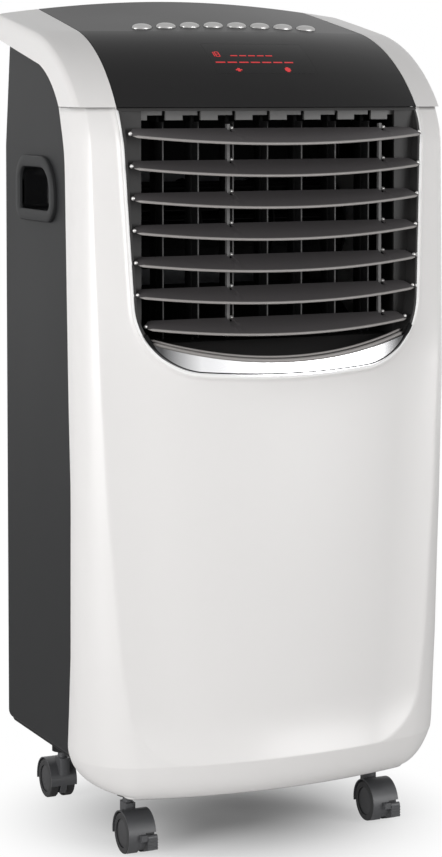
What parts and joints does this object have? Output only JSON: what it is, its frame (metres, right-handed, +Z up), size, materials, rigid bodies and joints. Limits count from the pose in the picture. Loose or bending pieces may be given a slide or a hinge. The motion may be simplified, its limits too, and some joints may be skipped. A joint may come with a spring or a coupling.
{
  "type": "portable air conditioner",
  "caption": "Upright room air conditioner on casters: white bowed front with a tilting louvre outlet, sloped control panel with push buttons, black housing with hand holds and rear grille.",
  "frame": {"origin": "on the floor under the middle of the part's box", "axes": "+Z up, +X to the right of someone facing the front, +Y to the back"},
  "size_m": [0.4, 0.311, 0.84],
  "materials": {
    "white_shell": "satin gloss",
    "gloss_black": "gloss",
    "display_glass": "gloss",
    "circuit_board": "satin",
    "charcoal_shell": "fine texture",
    "screw_steel": "satin",
    "dark_plastic": "satin",
    "rubber": "matte",
    "chrome": "polished",
    "tray_plastic": "matte",
    "motor_steel": "satin",
    "aluminium_fins": "fine fins",
    "compressor_paint": "satin",
    "copper": "satin",
    "louvre_plastic": "satin",
    "fan_plastic": "satin",
    "filter_mesh": "fine mesh",
    "caster_plastic": "satin",
    "wheel_plastic": "satin"
  },
  "bodies": {
    "cabinet": {"front_panel": "white_shell", "top_frame": "white_shell", "control_panel": "gloss_black", "display_window": "display_glass", "control_board": "circuit_board", "rear_housing": "charcoal_shell", "screws": "screw_steel", "side_handles": "charcoal_shell", "intake_grille": "charcoal_shell", "exhaust_collar": "dark_plastic", "cord_gland": "rubber", "base_pan": "dark_plastic", "outlet_duct": "dark_plastic", "chrome_trim": "chrome", "partition_tray": "tray_plastic", "blower_scroll": "dark_plastic", "fan_motors": "motor_steel", "evaporator_coil": "aluminium_fins", "condenser_coil": "aluminium_fins", "compressor": "compressor_paint", "compressor_grommets": "rubber", "refrigerant_pipes": "copper"},
    "louvre_1": {"louvre_1": "louvre_plastic"},
    "louvre_2": {"louvre_2": "louvre_plastic"},
    "louvre_3": {"louvre_3": "louvre_plastic"},
    "louvre_4": {"louvre_4": "louvre_plastic"},
    "louvre_5": {"louvre_5": "louvre_plastic"},
    "louvre_6": {"louvre_6": "louvre_plastic"},
    "louvre_7": {"louvre_7": "louvre_plastic"},
    "louvre_ties": {"louvre_ties": "dark_plastic"},
    "vane_1": {"vane_1": "louvre_plastic"},
    "vane_2": {"vane_2": "louvre_plastic"},
    "vane_3": {"vane_3": "louvre_plastic"},
    "vane_4": {"vane_4": "louvre_plastic"},
    "vane_5": {"vane_5": "louvre_plastic"},
    "vane_6": {"vane_6": "louvre_plastic"},
    "vane_7": {"vane_7": "louvre_plastic"},
    "vane_link": {"vane_link": "dark_plastic"},
    "button_1": {"button_1": "chrome"},
    "button_2": {"button_2": "chrome"},
    "button_3": {"button_3": "chrome"},
    "button_4": {"button_4": "chrome"},
    "button_5": {"button_5": "chrome"},
    "button_6": {"button_6": "chrome"},
    "button_7": {"button_7": "chrome"},
    "button_8": {"button_8": "chrome"},
    "caster_hood_front_left": {"caster_hood_front_left": "caster_plastic"},
    "caster_wheels_front_left": {"caster_wheels_front_left": "wheel_plastic"},
    "brake_pedal_front_left": {"brake_pedal_front_left": "caster_plastic"},
    "caster_hood_front_right": {"caster_hood_front_right": "caster_plastic"},
    "caster_wheels_front_right": {"caster_wheels_front_right": "wheel_plastic"},
    "brake_pedal_front_right": {"brake_pedal_front_right": "caster_plastic"},
    "caster_hood_rear_left": {"caster_hood_rear_left": "caster_plastic"},
    "caster_wheels_rear_left": {"caster_wheels_rear_left": "wheel_plastic"},
    "caster_hood_rear_right": {"caster_hood_rear_right": "caster_plastic"},
    "caster_wheels_rear_right": {"caster_wheels_rear_right": "wheel_plastic"},
    "blower_wheel": {"blower_wheel": "fan_plastic"},
    "condenser_fan": {"condenser_fan": "fan_plastic"},
    "air_filter": {"air_filter": "filter_mesh"},
    "drain_plug": {"drain_plug": "rubber"}
  },
  "joints": [
    {"name": "louvre_1_tilt", "type": "hinge", "parent": "cabinet", "child": "louvre_1", "pos_m": [0, -0.1275, 0.705], "axis": [1, 0, 0], "range_deg": [-30, 38]},
    {"name": "louvre_2_tilt", "type": "hinge", "parent": "cabinet", "child": "louvre_2", "pos_m": [0, -0.1275, 0.6744], "axis": [1, 0, 0], "range_deg": [-30, 38]},
    {"name": "louvre_3_tilt", "type": "hinge", "parent": "cabinet", "child": "louvre_3", "pos_m": [0, -0.1275, 0.6438], "axis": [1, 0, 0], "range_deg": [-30, 38]},
    {"name": "louvre_4_tilt", "type": "hinge", "parent": "cabinet", "child": "louvre_4", "pos_m": [0, -0.1275, 0.6132], "axis": [1, 0, 0], "range_deg": [-30, 38]},
    {"name": "louvre_5_tilt", "type": "hinge", "parent": "cabinet", "child": "louvre_5", "pos_m": [0, -0.1275, 0.5826], "axis": [1, 0, 0], "range_deg": [-30, 38]},
    {"name": "louvre_6_tilt", "type": "hinge", "parent": "cabinet", "child": "louvre_6", "pos_m": [0, -0.1275, 0.552], "axis": [1, 0, 0], "range_deg": [-30, 38]},
    {"name": "louvre_7_tilt", "type": "hinge", "parent": "cabinet", "child": "louvre_7", "pos_m": [0, -0.1275, 0.5214], "axis": [1, 0, 0], "range_deg": [-30, 38]},
    {"name": "louvre_ties_pivot", "type": "hinge", "parent": "louvre_1", "child": "louvre_ties", "pos_m": [0, -0.11545, 0.70987], "axis": [1, 0, 0], "range_deg": [-40, 32]},
    {"name": "vane_1_swing", "type": "hinge", "parent": "cabinet", "child": "vane_1", "pos_m": [-0.1116, -0.0875, 0.61], "axis": [0, 0, 1], "range_deg": [-28, 28]},
    {"name": "vane_2_swing", "type": "hinge", "parent": "cabinet", "child": "vane_2", "pos_m": [-0.0744, -0.0875, 0.61], "axis": [0, 0, 1], "range_deg": [-28, 28]},
    {"name": "vane_3_swing", "type": "hinge", "parent": "cabinet", "child": "vane_3", "pos_m": [-0.0372, -0.0875, 0.61], "axis": [0, 0, 1], "range_deg": [-28, 28]},
    {"name": "vane_4_swing", "type": "hinge", "parent": "cabinet", "child": "vane_4", "pos_m": [0, -0.0875, 0.61], "axis": [0, 0, 1], "range_deg": [-28, 28]},
    {"name": "vane_5_swing", "type": "hinge", "parent": "cabinet", "child": "vane_5", "pos_m": [0.0372, -0.0875, 0.61], "axis": [0, 0, 1], "range_deg": [-28, 28]},
    {"name": "vane_6_swing", "type": "hinge", "parent": "cabinet", "child": "vane_6", "pos_m": [0.0744, -0.0875, 0.61], "axis": [0, 0, 1], "range_deg": [-28, 28]},
    {"name": "vane_7_swing", "type": "hinge", "parent": "cabinet", "child": "vane_7", "pos_m": [0.1116, -0.0875, 0.61], "axis": [0, 0, 1], "range_deg": [-28, 28]},
    {"name": "vane_link_pivot", "type": "hinge", "parent": "vane_1", "child": "vane_link", "pos_m": [-0.1116, -0.0765, 0.514], "axis": [0, 0, 1], "range_deg": [-30, 30]},
    {"name": "button_1_press", "type": "slide", "parent": "cabinet", "child": "button_1", "axis": [0, 0.2163, -0.9763], "range_m": [0, 0.0015], "stiffness_N_per_m": 400, "springref_m": -0.0005},
    {"name": "button_2_press", "type": "slide", "parent": "cabinet", "child": "button_2", "axis": [0, 0.2163, -0.9763], "range_m": [0, 0.0015], "stiffness_N_per_m": 400, "springref_m": -0.0005},
    {"name": "button_3_press", "type": "slide", "parent": "cabinet", "child": "button_3", "axis": [0, 0.2163, -0.9763], "range_m": [0, 0.0015], "stiffness_N_per_m": 400, "springref_m": -0.0005},
    {"name": "button_4_press", "type": "slide", "parent": "cabinet", "child": "button_4", "axis": [0, 0.2163, -0.9763], "range_m": [0, 0.0015], "stiffness_N_per_m": 400, "springref_m": -0.0005},
    {"name": "button_5_press", "type": "slide", "parent": "cabinet", "child": "button_5", "axis": [0, 0.2163, -0.9763], "range_m": [0, 0.0015], "stiffness_N_per_m": 400, "springref_m": -0.0005},
    {"name": "button_6_press", "type": "slide", "parent": "cabinet", "child": "button_6", "axis": [0, 0.2163, -0.9763], "range_m": [0, 0.0015], "stiffness_N_per_m": 400, "springref_m": -0.0005},
    {"name": "button_7_press", "type": "slide", "parent": "cabinet", "child": "button_7", "axis": [0, 0.2163, -0.9763], "range_m": [0, 0.0015], "stiffness_N_per_m": 400, "springref_m": -0.0005},
    {"name": "button_8_press", "type": "slide", "parent": "cabinet", "child": "button_8", "axis": [0, 0.2163, -0.9763], "range_m": [0, 0.0015], "stiffness_N_per_m": 400, "springref_m": -0.0005},
    {"name": "caster_swivel_front_left", "type": "hinge", "parent": "cabinet", "child": "caster_hood_front_left", "pos_m": [-0.134, -0.0645, 0.07], "axis": [0, 0, 1], "continuous": true},
    {"name": "caster_spin_front_left", "type": "hinge", "parent": "caster_hood_front_left", "child": "caster_wheels_front_left", "pos_m": [-0.134, -0.0815, 0.02], "axis": [1, 0, 0], "continuous": true},
    {"name": "brake_pedal_front_left_press", "type": "hinge", "parent": "caster_hood_front_left", "child": "brake_pedal_front_left", "pos_m": [-0.134, -0.1057, 0.02], "axis": [1, 0, 0], "range_deg": [0, 9]},
    {"name": "caster_swivel_front_right", "type": "hinge", "parent": "cabinet", "child": "caster_hood_front_right", "pos_m": [0.134, -0.0645, 0.07], "axis": [0, 0, 1], "continuous": true},
    {"name": "caster_spin_front_right", "type": "hinge", "parent": "caster_hood_front_right", "child": "caster_wheels_front_right", "pos_m": [0.134, -0.0815, 0.02], "axis": [1, 0, 0], "continuous": true},
    {"name": "brake_pedal_front_right_press", "type": "hinge", "parent": "caster_hood_front_right", "child": "brake_pedal_front_right", "pos_m": [0.134, -0.1057, 0.02], "axis": [1, 0, 0], "range_deg": [0, 9]},
    {"name": "caster_swivel_rear_left", "type": "hinge", "parent": "cabinet", "child": "caster_hood_rear_left", "pos_m": [-0.134, 0.1161, 0.07], "axis": [0, 0, 1], "continuous": true},
    {"name": "caster_spin_rear_left", "type": "hinge", "parent": "caster_hood_rear_left", "child": "caster_wheels_rear_left", "pos_m": [-0.134, 0.1331, 0.02], "axis": [1, 0, 0], "continuous": true},
    {"name": "caster_swivel_rear_right", "type": "hinge", "parent": "cabinet", "child": "caster_hood_rear_right", "pos_m": [0.134, 0.1161, 0.07], "axis": [0, 0, 1], "continuous": true},
    {"name": "caster_spin_rear_right", "type": "hinge", "parent": "caster_hood_rear_right", "child": "caster_wheels_rear_right", "pos_m": [0.134, 0.1331, 0.02], "axis": [1, 0, 0], "continuous": true},
    {"name": "blower_spin", "type": "hinge", "parent": "cabinet", "child": "blower_wheel", "pos_m": [0, 0.0125, 0.61], "axis": [1, 0, 0], "continuous": true},
    {"name": "condenser_fan_spin", "type": "hinge", "parent": "cabinet", "child": "condenser_fan", "pos_m": [-0.08, 0.0925, 0.3], "axis": [0, 1, 0], "continuous": true},
    {"name": "air_filter_slide", "type": "slide", "parent": "cabinet", "child": "air_filter", "axis": [1, 0, 0], "range_m": [0, 0.3]},
    {"name": "drain_plug_pull", "type": "slide", "parent": "cabinet", "child": "drain_plug", "axis": [0, 1, 0], "range_m": [0, 0.03]}
  ],
  "couplings": [
    {"joint": "louvre_2_tilt", "follows": "louvre_1_tilt", "ratio": 1},
    {"joint": "louvre_3_tilt", "follows": "louvre_1_tilt", "ratio": 1},
    {"joint": "louvre_4_tilt", "follows": "louvre_1_tilt", "ratio": 1},
    {"joint": "louvre_5_tilt", "follows": "louvre_1_tilt", "ratio": 1},
    {"joint": "louvre_6_tilt", "follows": "louvre_1_tilt", "ratio": 1},
    {"joint": "louvre_7_tilt", "follows": "louvre_1_tilt", "ratio": 1},
    {"joint": "louvre_ties_pivot", "follows": "louvre_1_tilt", "ratio": -1},
    {"joint": "vane_2_swing", "follows": "vane_1_swing", "ratio": 1},
    {"joint": "vane_3_swing", "follows": "vane_1_swing", "ratio": 1},
    {"joint": "vane_4_swing", "follows": "vane_1_swing", "ratio": 1},
    {"joint": "vane_5_swing", "follows": "vane_1_swing", "ratio": 1},
    {"joint": "vane_6_swing", "follows": "vane_1_swing", "ratio": 1},
    {"joint": "vane_7_swing", "follows": "vane_1_swing", "ratio": 1},
    {"joint": "vane_link_pivot", "follows": "vane_1_swing", "ratio": -1}
  ]
}
